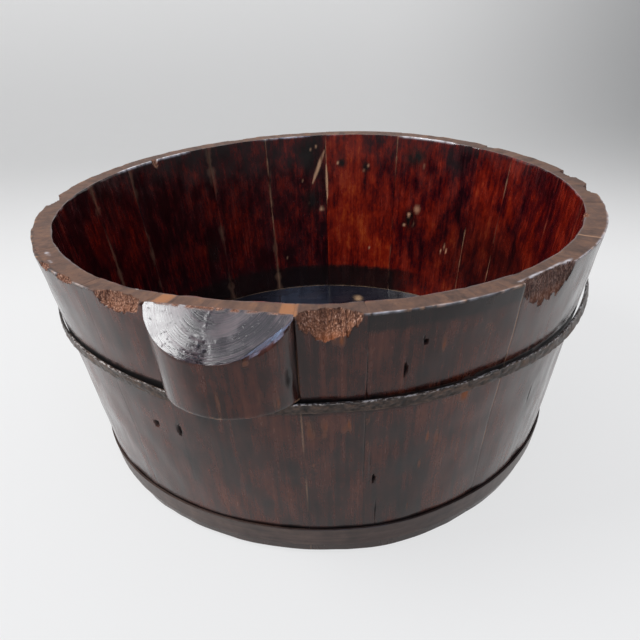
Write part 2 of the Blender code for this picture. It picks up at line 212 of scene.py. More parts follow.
def lattice_noise(points, seed):
    """Smooth noise from -1 to 1: a random value at each whole-number corner of space, blended
    between the eight nearest corners by the curve 3t^2 - 2t^3."""
    cell = np.floor(points).astype(np.int64)
    part = points - cell
    part = part * part * (3 - 2 * part)
    total = np.zeros(points.shape[:-1])
    for corner in np.ndindex(2, 2, 2):
        at = cell + np.array(corner)
        mixed = (at[..., 0] * 73856093) ^ (at[..., 1] * 19349663) ^ (at[..., 2] * 83492791)
        mixed = (mixed ^ (seed * 668265263)) & 0x7FFFFFFF
        mixed = ((mixed ^ (mixed >> 15)) * 2246822519) & 0x7FFFFFFF
        mixed = ((mixed ^ (mixed >> 13)) * 3266489917) & 0x7FFFFFFF
        weight = np.where(np.array(corner), part, 1 - part).prod(axis=-1)
        total += weight * (mixed / 0x3FFFFFFF - 1)
    return total


def layered_noise(points, seed, layers=3):
    """Sum of lattice noises, each twice as fine and half as strong as the one before."""
    total = np.zeros(points.shape[:-1])
    for layer in range(layers):
        total += lattice_noise(points * 2 ** layer, seed + layer) / 2 ** layer
    return total


def rim_noise(angles, pitch, seed):
    """Noise of two layers along the rim, with one wave in about two times pitch metres."""
    along = np.radians(angles) * RIM_RADIUS / pitch
    points = np.stack([along, np.full_like(along, seed * 7.3), np.zeros_like(along)], axis=-1)
    return layered_noise(points, seed, 2)


def wear_corner(labels, radius, z, sides, corner, sizes, power):
    """Move the points near the corner of two straight sides on to a worn curve, and say which moved.

    A point within a on one side, or within b on the other, goes to a (1-t)^p along the first side
    and b t^p along the second: a power of 2 rounds the corner, 1 bevels it, less than 1 scoops it.
    """
    rows = [labels == side for side in sides]
    away = np.hypot(radius - corner[0], z - corner[1])
    station = np.arange(radius.shape[1])
    units = []
    for row in rows:
        far = away[row].argmax(axis=0)
        step = np.stack([radius[row][far, station] - corner[0], z[row][far, station] - corner[1]])
        units.append(step / np.hypot(*step))
    along_a, along_b = (np.where(row[:, None], away, 0) for row in rows)
    inside = (along_a < sizes[0]) & (along_b < sizes[1]) & (rows[0] | rows[1])[:, None]
    t = unit(0.5 + 0.5 * (along_b / sizes[1] - along_a / sizes[0]))
    step_a, step_b = sizes[0] * (1 - t) ** power, sizes[1] * t ** power
    radius[inside] = (corner[0] + step_a * units[0][0] + step_b * units[1][0])[inside]
    z[inside] = (corner[1] + step_a * units[0][1] + step_b * units[1][1])[inside]
    return inside


def corner_sizes(angles, bites, worn, seed):
    """Reach of the wear along both sides of an arris at each angle, its power, and the bite's share.

    Plain wear is a small round of uneven size. A bite follows a half-ellipse with a ragged outline.
    """
    base = worn * (0.55 + 0.45 * rim_noise(angles, 0.012, seed))
    size_a, size_b = base.copy(), base * 1.1
    power, bite = np.full_like(angles, 2.0), np.zeros_like(angles)
    for number, (middle, half, reach_in, reach_down, hollow) in enumerate(bites):
        away = (angles - middle + 180) % 360 - 180
        ragged = away / half + 0.16 * rim_noise(angles, 0.004, seed + 11 + number)
        share = np.sqrt(unit(1 - ragged ** 2))
        inward = share * reach_in * MM * (1 + 0.20 * rim_noise(angles, 0.003, seed + 31 + number))
        downward = share * reach_down * MM * (1 + 0.17 * rim_noise(angles, 0.003, seed + 51 + number))
        deeper = inward > size_a
        size_a = np.where(deeper, inward, size_a)
        size_b = np.where(deeper, np.maximum(downward, size_b), size_b)
        power = np.where(deeper, hollow + (2 - hollow) * (1 - share) ** 3, power)
        bite = np.where(deeper, share, bite)
    return size_a, size_b, power, bite


def steps_from(fine_to, fine, coarse_to, coarse):
    """Distances from an arris: fine steps first, then coarse ones."""
    first = np.arange(0, fine_to, fine)
    return np.concatenate([first, np.linspace(fine_to, coarse_to, round((coarse_to - fine_to) / coarse))])


def stave_stations(start, end):
    """Angles of the grid across a stave, closer at its two edges, and each one's distance to an edge."""
    gap = math.degrees(CLOSED_GAP / 2 / RIM_RADIUS)
    width = math.radians(end - start) * RIM_RADIUS
    inner = np.linspace(0.0016, width - 0.0016, max(8, round(width / STATION)))
    rubbed = np.array([0.0, 0.0004, 0.0009])
    along = np.concatenate([rubbed, inner, width - rubbed[::-1]])
    angles = start + gap + (end - start - 2 * gap) * along / width
    return angles, np.minimum(along, width - along)


def stack_sides(angles, sides):
    """Rows of a profile from its sides: the side each row is on, and its radius and height at each angle."""
    labels, radius, z = [], [], []
    for label, r_rows, z_rows in sides:
        r_rows, z_rows = np.broadcast_arrays(r_rows, z_rows)
        if r_rows.ndim == 1:
            r_rows, z_rows = r_rows[:, None], z_rows[:, None]
        labels += [label] * len(r_rows)
        radius.append(np.broadcast_to(r_rows, (len(r_rows), angles.size)))
        z.append(np.broadcast_to(z_rows, (len(z_rows), angles.size)))
    return np.array(labels), np.concatenate(radius), np.concatenate(z)


def inner_sides():
    """Sides of every stave from the rim down the inside, past the groove for the bottom, to the foot."""
    high = HEIGHT - steps_from(0.014, 0.0012, HEIGHT - CROZE_TOP, 0.0028)
    low = np.linspace(CROZE_FOOT, FOOT_BEVEL, 9)
    foot = FOOT_RADIUS - np.array([WALL - FOOT_BEVEL, WALL * 0.6, WALL * 0.3, FOOT_BEVEL])
    return [
        ("inner", wall_radius(high) - WALL, high),
        ("groove", CROZE_BACK, np.array([CROZE_TOP, CROZE_FOOT])),
        ("low", wall_radius(low) - WALL, low),
        ("foot", foot, 0.0),
    ]


def plain_profile(angles):
    """Profile of a plain stave: up the outside, in over the rim, down the inside and out along the foot."""
    outer = HEIGHT - steps_from(0.036, 0.0012, HEIGHT - FOOT_BEVEL, 0.0026)[::-1]
    rim = RIM_RADIUS - np.linspace(0, WALL, 20)[1:-1]
    sides = [("outer", wall_radius(outer), outer), ("rim", rim, HEIGHT), *inner_sides()]
    labels, radius, z = stack_sides(angles, sides)
    size_a, size_b, power, bite = corner_sizes(angles, OUTER_BITES, 0.0022, 100)
    corner = (RIM_RADIUS, HEIGHT)
    cut = wear_corner(labels, radius, z, ("rim", "outer"), corner, (size_a, size_b), power)
    return labels, radius, z, np.where(cut, bite, 0)


def lug_radius(angle, half, z):
    """Radius of a lug's front, where a ray from the axis leaves an ellipse through the stave's corners.

    The ellipse's centre lies inside the corners by the shoulder, and it reaches out past the wall.
    """
    radius = wall_radius(z)
    centre = radius * math.cos(half) - LUG_SHOULDER
    semi_out = radius + LUG_REACH - centre
    semi_side = radius * math.sin(half) / np.sqrt(1 - (LUG_SHOULDER / semi_out) ** 2)
    c, s = np.cos(angle), np.sin(angle)
    a = (c / semi_out) ** 2 + (s / semi_side) ** 2
    b = c * centre / semi_out ** 2
    d = (centre / semi_out) ** 2 - 1
    return np.maximum((b + np.sqrt(np.maximum(b * b - a * d, 0))) / a, radius + LUG_LIP)


def lug_profile(angles, lug_chord, planed):
    """Profile of a lug's stave: as a plain one up to the lug, then out under it, up its round front
    and back along its slanting facet to a straight edge on the rim.

    Its arrises are rounded by wear. Where planed is set, a plane cuts off one end of the front arris: it
    holds the straight line between two points of the arris, and is the facet's plane turned down about it.
    The cut's reach along a side is the corner's height over the plane, divided by how fast that side falls.
    """
    middle = (angles[0] + angles[-1]) / 2
    turn, half = np.radians(angles - middle), math.radians(angles[-1] - middle) * 1.0005
    top = np.full_like(turn, HEIGHT)
    for _ in range(12):
        fall = LUG_SLANT * (lug_radius(turn, half, top) * np.cos(turn) - lug_chord)
        top = HEIGHT - np.maximum(fall, 0.0008)
    top_radius, low_radius = lug_radius(turn, half, top), lug_radius(turn, half, LUG_BOTTOM)
    chord = np.minimum(np.minimum(lug_chord / np.cos(turn), top_radius - 0.0008), RIM_RADIUS)
    share = np.linspace(0, 1, 12)[1:-1, None]
    rise = np.linspace(0, 1, 34)[:, None]
    even = np.linspace(0, 1, 42)[1:, None]
    back = (1 - np.cos(even * math.pi / 2)) * 0.6 + even * 0.4
    over = np.linspace(0, 1, 14)[1:-1, None]
    outer = np.linspace(FOOT_BEVEL, LUG_BOTTOM, 74)
    rim_in = RIM_RADIUS - WALL
    sides = [
        ("outer", wall_radius(outer), outer),
        ("under", wall_radius(LUG_BOTTOM) + (low_radius - wall_radius(LUG_BOTTOM)) * share, LUG_BOTTOM),
        ("front", low_radius + (top_radius - low_radius) * rise, LUG_BOTTOM + (top - LUG_BOTTOM) * rise),
        ("facet", top_radius + (chord - top_radius) * back, top + (HEIGHT - top) * back),
        ("rim", chord + (rim_in - chord) * over, HEIGHT),
        *inner_sides(),
    ]
    labels, radius, z = stack_sides(angles, sides)
    across = turn / half
    depth = np.hypot(top_radius - chord, HEIGHT - top)
    worn = 0.0010 + 0.0004 * rim_noise(angles, 0.006, 300)
    size_a, size_b, power = worn, worn.copy(), np.full_like(turn, 2.0)
    if planed:
        ray = np.stack([np.cos(turn), np.sin(turn)])
        arris = np.stack([*(top_radius * ray), top])
        ends = [np.array([np.interp(end, across, row) for row in arris]) for end in PLANED_ENDS]
        upright = np.array([math.sin(math.atan(LUG_SLANT)), 0, math.cos(math.atan(LUG_SLANT))])
        line = (ends[1] - ends[0]) / np.linalg.norm(ends[1] - ends[0])
        cut = upright * math.cos(PLANED_TILT) + np.cross(line, upright) * math.sin(PLANED_TILT)
        over_cut = cut @ (arris - ends[0][:, None])
        falls = []
        for end_radius, end_z in ((chord, HEIGHT), (low_radius, LUG_BOTTOM)):
            run = np.stack([*((end_radius - top_radius) * ray), end_z - top])
            falls.append(np.maximum(-(cut @ run) / np.linalg.norm(run, axis=0), 0.05))
        flat = (over_cut > 0.0003) & (across > PLANED_ENDS[0]) & (across < PLANED_ENDS[1])
        size_a = np.where(flat, over_cut / falls[0], size_a)
        size_b = np.where(flat, over_cut / falls[1], size_b)
        power = np.where(flat, 1.0, power)
    size_a = np.minimum(size_a, np.maximum(0.85 * depth, 0.0003))
    size_b = np.minimum(size_b, np.maximum(0.35 * depth, 0.0003))
    wear_corner(labels, radius, z, ("facet", "front"), (top_radius, top), (size_a, size_b), power)
    reach = np.maximum(0.4 * (low_radius - wall_radius(LUG_BOTTOM)), 0.0002)
    worn = np.minimum(0.0013 + 0.0006 * rim_noise(angles, 0.008, 310), reach)
    corner = (low_radius, np.full_like(turn, LUG_BOTTOM))
    wear_corner(labels, radius, z, ("under", "front"), corner, (worn, worn * 1.2), np.full_like(turn, 2.0))
    return labels, radius, z, np.zeros_like(radius)


def all_spots(angles, heights, marks):
    """Sum of soft oval marks, at most 1: each is 1 at its middle, and 0 from half its size outwards."""
    total = np.zeros(angles.shape)
    for at, *sizes in marks:
        height, tall, wide = (size * MM for size in sizes)
        away = ((angles - at + 180) % 360 - 180) * math.radians(1) * wall_radius(height)
        total += unit(1.5 - 1.5 * np.sqrt((away / wide * 2) ** 2 + ((heights - height) / tall * 2) ** 2))
    return unit(total)


def slivers(angles, heights):
    """Long slanting marks: 1 on the line between two ends, fading across a width that swells like a sine."""
    total = np.zeros(angles.shape)
    for start, high, end, low, width in SLIVERS:
        scale = math.radians(1) * wall_radius(high * MM)
        run, fall = (end - start) * scale, (low - high) * MM
        over, under = (angles - start) * scale, heights - high * MM
        along = unit((over * run + under * fall) / (run * run + fall * fall))
        away = np.hypot(over - along * run, under - along * fall)
        total += unit(2 - 2 * away / (width * MM / 2 * np.sin(math.pi * along) ** 0.6 + 1e-5))
    return unit(total)


def plain_hoop_top(angles):
    """Height of the tilted plane that the upper hoop's top edge lies near: a cosine round the tub."""
    return HOOP_MIDDLE + HOOP_TILT * np.cos(np.radians(angles - HOOP_HIGH_AT))


def upper_hoop_top(angles):
    """Height of the upper hoop's top edge, where it hangs out of its plane."""
    return plain_hoop_top(angles) + out_of_true(angles, HOOP_LIFT)


def facet_wear(across, share):
    """How far a lug's facet is sunk, and how broken it is: a crumbled dent by the front arris, and a ridge of
    splinters from there up to the rim."""
    pits = layered_noise(np.stack([across * 26, share * 20, 0 * across], axis=-1), 71, 2)
    dent = unit(1.3 - np.hypot((across + 0.13 - 0.12 * share) / 0.14, share / 0.44) + 0.40 * pits)
    split = unit(1 - np.abs(across + 0.08 + 0.012 * np.sin(share * 17)) / 0.022) * (share > 0.25)
    split = split * unit(0.4 + 1.2 * pits)
    return dent * (0.0004 + 0.0015 * pits) - 0.0002 * split * pits, unit(dent * 1.5) + 0.2 * split


def rim_warmth(angles):
    """How orange the rim is: 1 within each of its rubbed patches, with sharp ends."""
    return sum(unit(5 - 5 * np.abs(angles - middle) / half) for middle, half in RIM_PATCHES)


def foot_bulge(angles, heights):
    """How far the wall stands out near the foot: a table round the tub, fading upwards as a square."""
    return out_of_true(angles, FOOT_BULGE) * unit(1 - heights / FOOT_BULGE_TOP) ** 2


def seam_strength(strengths, spans, joint, heights):
    """How much a joint shows at each height: full within its span, with soft ends."""
    low, high = spans.get(joint, WHOLE_SPAN)
    return strengths[joint] * unit(1 + np.minimum(heights - low * MM, high * MM - heights) / 0.008)


def arc_strength(angles, arcs):
    """Strength of the arc that each angle lies on, with soft ends."""
    total = np.zeros_like(angles)
    for start, end, strength in arcs:
        into = (angles - start) % 360
        total += strength * unit(np.minimum(into, end - start - into) / 1.5)
    return total


def build_stave(number):
    """Points of one stave's grid, and its attributes: grain coordinates, zones, wear and marks.

    The worn profile is carried round the axis. It is then sunk at breaks, holes, cracks and joints, waved
    a little, and moved by the tables of what is out of true, which fade through the wall and with height.
    """
    angles, edge = stave_stations(JOINTS[number], JOINTS[number + 1])
    middle, half = (angles[0] + angles[-1]) / 2, (angles[-1] - angles[0]) / 2
    is_lug = number in LUG_STAVES
    profile = lug_profile(angles, LUG_CHORDS[number], number == 0) if is_lug else plain_profile(angles)
    labels, radius, z, broken = profile
    size_a, size_b, power, bite = corner_sizes(angles, INNER_BITES, 0.0020, 200)
    corner = (np.full_like(angles, RIM_RADIUS - WALL), np.full_like(angles, HEIGHT))
    cut = wear_corner(labels, radius, z, ("rim", "inner"), corner, (size_a, size_b), power)
    broken = broken + np.where(cut, bite, 0)
    whole = broken < 0.05

    theta = np.broadcast_to(angles, radius.shape)
    edges = np.broadcast_to(edge, radius.shape)
    outer, under, front, facet, rim, inner = (
        (labels == name)[:, None] for name in ("outer", "under", "front", "facet", "rim", "inner"))
    outside = outer | under | front
    down = HEIGHT - z
    in_wall = RIM_RADIUS - TAPER * down - radius
    place = np.stack([np.radians(theta) * RIM_RADIUS, in_wall, z], axis=-1)

    crumbs = layered_noise(place * (400, 400, 260), 7)
    splits = layered_noise(place * (420, 300, 60), 17)
    sunk = unit(broken * 2) * (0.0003 * crumbs + 0.0007 * splits + 0.0005)
    around = np.radians((theta - JOINTS[9]) % 360) * RIM_RADIUS
    waves = 0.00045 * layered_noise(np.stack([around * 38, 0 * z, z * 26], axis=-1), 23, 2)
    both, nearer_start = (number, number + 1), theta < middle
    seam_out = np.where(nearer_start, *(seam_strength(OUTER_SEAMS, OUTER_SEAM_SPANS, at, z) for at in both))
    seam_in = np.where(nearer_start, *(seam_strength(INNER_SEAMS, INNER_SEAM_SPANS, at, z) for at in both))
    outer_pale, rim_pale = (
        np.where(nearer_start, *(table.get(at, 0.0) for at in both)) for table in (OUTER_PALE, RIM_PALE))
    rubbed = unit(1 - edges / 0.0016) ** 2
    holes = unit(2.2 * all_spots(theta, z, HOLES)) * outer
    cracks = all_spots(theta, z, CRACKS) * outside
    radius = radius - sunk - 0.0025 * holes - 0.0007 * cracks
    radius = radius + np.where(outside, waves - 0.0007 * seam_out * rubbed, 0)
    radius = radius + np.where(inner, 0.0005 * rubbed - waves, 0)
    uneven = 0.0002 * rubbed + 0.0002 * (1 + lattice_noise(place * 90, 5))
    z = z - np.where(rim, uneven, 0) - 0.6 * np.abs(sunk)
    rough = unit(broken * 3) * np.clip((z - 0.212) / 0.010, 0.2, 1)
    ragged, dent_shade = np.zeros(z.shape), np.zeros(z.shape)
    rings = np.zeros(z.shape + (3,))
    if is_lug:
        rows = labels == "facet"
        across = (theta - middle) / half
        share = np.linspace(0, 1, rows.sum())[:, None] + 0 * theta[rows]
        low, rough[rows] = facet_wear(across[rows], share)
        # Painted shade in the dent: the facet darkened by how deep it is sunk.
        dent_shade[rows] = unit(low / 0.0013)
        ragged[rows] = unit((share - 0.945) / 0.03)
        narrow = unit((1 - np.abs(across[rows])) / 0.15)
        z[rows] -= np.clip(low, -0.0008, 0.0030) * narrow * unit((1 - share) / 0.06)
        turn = np.radians(theta - middle)
        out, aside = radius * np.cos(turn) - RING_CENTRE, radius * np.sin(turn)
        rings[..., 0] = np.hypot(out / RING_AXES[0], aside / RING_AXES[1]) * RING_SCALE
        rings[..., 1] = np.arctan2(aside, out) * RING_SCALE
        rings[..., 2] = across
    before = max(RIM_RADIUS - LUG_CHORDS.get(number, RIM_RADIUS), 0)
    through = unit((in_wall - before) / (WALL - before))
    radius = radius + out_of_true(theta, INNER_FACE) * through * unit((z - 0.06) / 0.12) ** 2
    bulge = foot_bulge(theta, z) + out_of_true(theta, RIM_BULGE) * unit((z - 0.15) / 0.085)
    radius = radius + bulge * (1 - through)
    z = np.clip(z, 0, HEIGHT) + out_of_true(theta, RIM_RISE) * unit((z - 0.165) / 0.042) ** 2

    blotch = 0.5 + 0.5 * layered_noise(place * (210, 210, 60), 41)
    speckle = unit(layered_noise(place * 260, 47, 2) * 2.2 - 0.4)
    streaky = unit(0.5 + 0.9 * layered_noise(place * (480, 480, 34), 43, 2))
    knots = (all_spots(theta, z, INNER_KNOTS) + slivers(theta, z)) * inner
    inner_dark_and_shade = all_spots(theta, z, INNER_DARK) * inner * unit(0.5 + blotch)
    # Dark marks inside, and the painted shadow low on the right.
    inner_dark_and_shade = inner_dark_and_shade + 0.6 * all_spots(theta, z, [INNER_PAINTED_SHADOW]) * inner
    low_band = unit(0.5 + (0.0702 + 0.0020 * blotch - z) / 0.0035) * inner
    low_band = low_band * unit((theta - 50) / 14)
    worn = all_spots(theta, z, WORN_SPOTS) * (outer | front)
    broken_line = unit(0.55 + lattice_noise(place * (30, 0, 55), 61))
    line_width = 0.0006 + 0.0005 * np.clip(layered_noise(place * (0, 0, 130), 63, 2), -0.6, 1)
    smear = unit(1.5 - edges / (5 * line_width)) * (theta > 102) * inner
    smear = smear * unit(1.6 * blotch + 1.2 * lattice_noise(place * (60, 0, 32), 67) - 0.5)
    seams = seam_in * broken_line * unit(1.5 - edges / line_width) * inner * np.where(theta > 107, 0.3, 1.0)
    seams = seams + outer_pale * broken_line * unit(1.5 - edges / 0.0006) * outer
    seams = seams + rim_pale * unit(1.5 - edges / 0.0009) * rim
    under_rim = (theta > -83.5) & (theta < -44) & outer
    band = unit((z - HEIGHT + 0.0150) / 0.004 + 0.5 * blotch) * under_rim * 0.8
    # Black band round the hoops: a stain over the upper hoop, painted shade on the wall behind it, and a line
    # of painted shade just over the lower hoop.
    over_hoop, over_plane = z - upper_hoop_top(theta), z - plain_hoop_top(theta)
    dark_band_top = out_of_true(theta, HOOP_STAIN_AND_SHADE) + 0.0012 * (blotch - 0.5)
    hoop_stain_and_shade = unit(0.5 + np.minimum(over_hoop + 0.0125, dark_band_top - over_plane) / 0.0010)
    hoop_stain_and_shade = hoop_stain_and_shade * arc_strength(theta, [STAIN_AND_SHADE_ARC])
    hoop_stain_and_shade = (hoop_stain_and_shade + unit(1.3 - np.abs(z - 0.0280) / 0.0016)) * outer
    to_arris = np.where(outer, down, np.where(rim, in_wall, 1.0))
    to_inner = np.where(inner, down, np.where(rim, WALL - in_wall, 1.0))
    arris = unit(1 - to_arris / 0.0022) * (not is_lug)
    lug_low = unit(1 - np.abs(z - LUG_BOTTOM) / 0.0022) * front
    pale = 0.55 * seams + 0.20 * smear + knots * unit(blotch * 1.7)
    pale = unit(pale + 0.7 * (arris + lug_low) * speckle * whole)
    # Painted highlights along the outer and inner arris.
    painted_glint = arc_strength(theta, OUTER_PAINTED_GLINTS) * unit(1.4 - to_arris / 0.0011) * whole
    painted_glint = painted_glint + arc_strength(theta, INNER_PAINTED_GLINTS) * unit(1.4 - to_inner / 0.0018)
    # White crumbs on the rim, and a painted highlight along the top of the right chip.
    rim_white_and_glint = all_spots(theta, in_wall, RIM_WHITE_AND_GLINT) * rim * whole
    white = painted_glint * unit(blotch * 1.4) + 0.75 * rim_white_and_glint * unit(blotch * 1.6 - 0.2)
    on_rim = np.where(rim, unit((WALL - in_wall) / 0.0015), 0) + unit(1 - down / 0.0010) * outer
    bare = unit(broken * 3) + worn * unit(blotch * 1.8 - 0.4) * (0.15 + 0.85 * streaky)
    bare = bare + all_spots(theta, in_wall, RIM_BARE) * rim * blotch + ragged * unit(blotch * 2.4 - 0.5)
    peeled = unit(1.2 - np.abs(to_arris - 0.0016) / 0.0013) * arc_strength(theta, [PEELED_ARRIS])
    peeled = peeled * unit(blotch * 1.8 - 0.3)
    cracks = cracks * unit(blotch * 2.4 - 0.5)
    # Dark: holes, cracks, the band under the rim, dark marks and the low band inside, with painted shade by
    # the hoops, low on the right inside and in the facet's dent.
    dark = holes * 1.4 + cracks * 1.2 + band + unit(hoop_stain_and_shade) + inner_dark_and_shade + 0.95 * low_band
    dark = dark + 0.8 * dent_shade + peeled

    attributes = {
        "grain": place + (0.37 * number, 0, 0),
        "rings": rings,
        "inside": inner + 0.0 * z,
        "rim": on_rim,
        "facet": facet + 0.0 * z,
        "rough": unit(rough),
        "bare": unit(bare),
        "dark": unit(dark) * np.where(whole, 1, 0.2) * (1 - pale),
        # Rougher where stained, and also under the painted shade, the peeling, the holes and the cracks.
        "stain_and_shade": unit(hoop_stain_and_shade + 0.8 * dent_shade + peeled + holes + cracks),
        "pale": pale,
        "white": unit(white),
        "aged": unit(0.25 + arc_strength(theta, AGED_BREAKS)),
        "seam": unit(1 - edges / 0.0008) * seam_out * outside,
        # Tone: the rim's orange patches; inside, each stave's redness, which is partly painted shade on the
        # left.
        "tone": np.where(rim, rim_warmth(theta), STAVE_TONES_AND_SHADE[number]),
        "height": z,
    }
    return round_axis(theta, radius, z), attributes


def add_object(name, data):
    """New object in the scene."""
    made = bpy.data.objects.new(name, data)
    bpy.context.scene.collection.objects.link(made)
    return made


def put_mesh(name, points, surface, attributes):
    """Mesh object from a grid of points (profile, station, xyz): a closed profile, with both ends capped.

    Faces run along increasing stations and then up the profile, which turns them outwards.
    """
    rows, columns = points.shape[:2]
    index = np.arange(rows * columns).reshape(rows, columns)
    upper = np.roll(index, -1, axis=0)
    quads = np.stack([index[:, :-1], index[:, 1:], upper[:, 1:], upper[:, :-1]], axis=-1).reshape(-1, 4)
    faces = quads.tolist() + [index[:, 0].tolist(), index[::-1, -1].tolist()]
    mesh = bpy.data.meshes.new(name)
    mesh.from_pydata(points.reshape(-1, 3), [], faces)
    for key, values in attributes.items():
        is_vector = values.ndim == 3
        layer = mesh.attributes.new(key, "FLOAT_VECTOR" if is_vector else "FLOAT", "POINT")
        layer.data.foreach_set("vector" if is_vector else "value", values.astype(np.float32).ravel())
    mesh.shade_smooth()
    mesh.set_sharp_from_angle(angle=math.radians(21))
    mesh.materials.append(surface)
    return add_object(name, mesh)


class Finish:
    """A material with a Principled shader. Most methods add nodes and return the socket with the result."""

    def __init__(self, name):
        """Start a new material of that name."""
        self.material = bpy.data.materials.new(name)
        self.material.use_nodes = True
        self.tree = self.material.node_tree
        self.shader = self.tree.nodes["Principled BSDF"]

    def wire(self, node, inputs):
        """Link a node's inputs to sockets, or set them to values."""
        for key, value in inputs.items():
            if isinstance(value, bpy.types.NodeSocket):
                self.tree.links.new(value, node.inputs[key])
            else:
                node.inputs[key].default_value = value

    def shade(self, **inputs):
        """Link or set the shader's inputs, with spaces written as underscores."""
        self.wire(self.shader, {key.replace("_", " "): value for key, value in inputs.items()})

    def add(self, kind, inputs, **settings):
        """Outputs of one node, with its properties set to settings."""
        made = self.tree.nodes.new("ShaderNode" + kind)
        for key, value in settings.items():
            setattr(made, key, value)
        self.wire(made, inputs)
        return made.outputs

    def attribute(self, name, output="Fac"):
        """Value of a mesh attribute."""
        return self.add("Attribute", {}, attribute_name=name)[output]

    def where(self):
        """Place in the object's own axes."""
        return self.add("TexCoord", {})["Object"]

    def split(self, vector):
        """Three parts of a vector."""
        return self.add("SeparateXYZ", {0: vector})

    def calc(self, operation, a, b, clamp=False):
        """Result of a Math node."""
        return self.add("Math", {0: a, 1: b}, operation=operation, use_clamp=clamp)[0]

    def times(self, a, b):
        """Product of two values."""
        return self.calc("MULTIPLY", a, b)

    def weigh(self, *terms):
        """Sum of values, each times its weight: terms are (value, weight)."""
        total = self.times(*terms[0])
        for term in terms[1:]:
            total = self.calc("ADD", total, self.times(*term))
        return total

    def mix(self, share, a, b):
        """Value between a and b by a share from 0 to 1."""
        return self.add("Mix", {0: share, 2: a, 3: b})[0]

    def cover(self, colour, *layers):
        """Colour under layers from the lowest up: each is (share from 0 to 1, colour)."""
        for share, over in layers:
            colour = self.add("Mix", {0: share, 6: colour, 7: over}, data_type="RGBA")[2]
        return colour

    def span(self, value, low, high, to_low=0.0, to_high=1.0):
        """Value mapped from low..high to to_low..to_high, smoothly and clamped."""
        inputs = {0: value, 1: low, 2: high, 3: to_low, 4: to_high}
        return self.add("MapRange", inputs, interpolation_type="SMOOTHSTEP")[0]

    def noise(self, vector, scale, detail=3.0, roughness=0.55, distortion=0.0):
        """Noise on a vector that is first scaled along each axis."""
        scaled = self.add("VectorMath", {0: vector, 1: scale}, operation="MULTIPLY")[0]
        inputs = {"Scale": 1.0, "Detail": detail, "Roughness": roughness, "Distortion": distortion}
        return self.add("TexNoise", {"Vector": scaled, **inputs})[0]

    def ramp(self, value, *stops):
        """Colours along a value: stops are (place, red, green, blue)."""
        result = self.add("ValToRGB", {0: value})[0]
        elements = result.node.color_ramp.elements
        while len(elements) < len(stops):
            elements.new(0.5)
        for element, (place, *colour) in zip(elements, stops):
            element.position = place
            element.color = (*colour, 1.0)
        return result

    def relief(self, *bumps):
        """Normal tilted by bumps, one over another: each is (height, metres for a height of 1, strength)."""
        inputs = {}
        for height, distance, strength in bumps:
            inputs.update(Height=height, Distance=distance, Strength=strength)
            inputs["Normal"] = self.add("Bump", inputs)[0]
        return inputs["Normal"]


